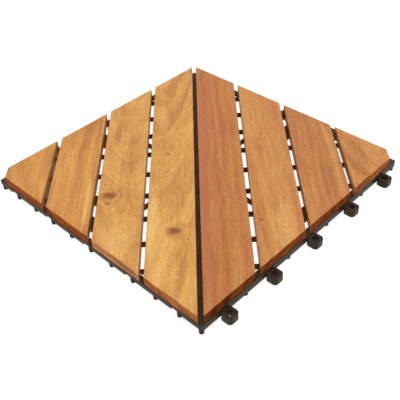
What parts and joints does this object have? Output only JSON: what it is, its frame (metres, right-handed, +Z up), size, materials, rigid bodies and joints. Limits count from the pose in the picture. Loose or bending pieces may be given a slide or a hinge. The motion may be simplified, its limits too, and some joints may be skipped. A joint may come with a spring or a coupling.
{
  "type": "interlocking deck tile",
  "caption": "Square deck tile of hardwood slats laid diagonally on a moulded grid base, with loops along its sides that join it to pins of the next tile.",
  "frame": {"origin": "on the floor under the centre of the tile's square, at the underside of the centre foot", "axes": "+Z up; +X towards the side with loops that shows on the right of the picture, +Y towards the other side with loops"},
  "size_m": [0.3097, 0.3097, 0.022],
  "materials": {
    "base_plastic": "moulded black plastic, slightly satin",
    "acacia_honey": "oiled acacia, warm honey tone",
    "acacia_red": "oiled acacia, redder tone",
    "acacia_orange": "oiled acacia, orange tone",
    "screw_steel": "zinc-plated steel"
  },
  "bodies": {
    "root": {"base_grid": "base_plastic", "slat_1": "acacia_honey", "slat_2": "acacia_honey", "slat_3": "acacia_honey", "slat_4": "acacia_honey", "slat_5": "acacia_red", "slat_6": "acacia_orange", "slat_7": "acacia_red", "slat_8": "acacia_orange", "slat_screws": "screw_steel"}
  },
  "joints": []
}
